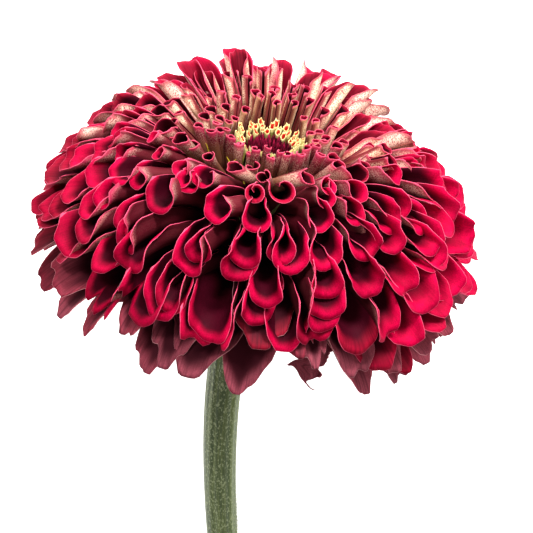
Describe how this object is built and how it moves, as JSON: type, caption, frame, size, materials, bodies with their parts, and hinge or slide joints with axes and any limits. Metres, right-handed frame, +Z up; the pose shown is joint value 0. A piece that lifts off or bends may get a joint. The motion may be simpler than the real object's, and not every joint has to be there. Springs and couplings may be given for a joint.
{
  "type": "zinnia flower",
  "caption": "Cut double zinnia lying down: domed crimson head of packed quilled and spoon-shaped petals, drooping outer petals, green bract cup and a bare ribbed stem.",
  "frame": {"origin": "centre of the bounding box's footprint, on the surface the flower lies on", "axes": "+Z up from the surface; +Y along the lying flower towards the bloom, the stem runs towards -Y; +X to the right seen from the stem end"},
  "size_m": [0.1008, 0.1802, 0.0941],
  "materials": {
    "quilled_petals": "soft, dull, cream to tan backs with crimson mouths",
    "crimson_petals": "soft satin, deep crimson faces with dusty rose-brown backs",
    "guard_petals": "dull dusty maroon with faint veins",
    "disc_florets": "yellow, waxy",
    "paleae": "dark maroon bristles",
    "receptacle": "pale green pith",
    "bracts": "dull green scales with dark tips",
    "stem": "grey-green, ribbed, finely hairy"
  },
  "bodies": {
    "root": {"bracts_lower": "bracts", "bracts_middle": "bracts", "bracts_upper": "bracts", "broad_whorl_10": "crimson_petals", "broad_whorl_11": "crimson_petals", "broad_whorl_12": "crimson_petals", "broad_whorl_13": "crimson_petals", "broad_whorl_14": "crimson_petals", "disc_florets": "disc_florets", "drooping_petal_01": "guard_petals", "drooping_petal_02": "guard_petals", "drooping_petal_03": "guard_petals", "drooping_petal_04": "guard_petals", "drooping_petal_05": "guard_petals", "drooping_petal_06": "guard_petals", "drooping_petal_07": "guard_petals", "drooping_petal_08": "guard_petals", "drooping_petal_09": "guard_petals", "drooping_petal_10": "guard_petals", "drooping_petal_11": "guard_petals", "drooping_petal_12": "guard_petals", "drooping_petal_13": "guard_petals", "drooping_petal_14": "guard_petals", "drooping_petal_15": "guard_petals", "drooping_petal_16": "guard_petals", "drooping_petal_17": "guard_petals", "drooping_petal_18": "guard_petals", "drooping_petal_19": "guard_petals", "guard_petal_01": "guard_petals", "guard_petal_02": "guard_petals", "guard_petal_03": "guard_petals", "guard_petal_04": "guard_petals", "guard_petal_05": "guard_petals", "guard_petal_06": "guard_petals", "guard_petal_07": "guard_petals", "guard_petal_08": "guard_petals", "guard_petal_09": "guard_petals", "guard_petal_10": "guard_petals", "guard_petal_11": "guard_petals", "guard_petal_12": "guard_petals", "guard_petal_13": "guard_petals", "guard_petal_14": "guard_petals", "guard_petal_15": "guard_petals", "guard_petal_16": "guard_petals", "guard_petal_17": "guard_petals", "guard_petal_18": "guard_petals", "guard_petal_19": "guard_petals", "guard_petal_20": "guard_petals", "paleae_tuft": "paleae", "quill_whorl_01": "quilled_petals", "quill_whorl_02": "quilled_petals", "quill_whorl_03": "quilled_petals", "quill_whorl_04": "quilled_petals", "quill_whorl_05": "quilled_petals", "receptacle": "receptacle", "spoon_whorl_06": "crimson_petals", "spoon_whorl_07": "crimson_petals", "spoon_whorl_08": "crimson_petals", "spoon_whorl_09": "crimson_petals", "stem": "stem"}
  },
  "joints": []
}
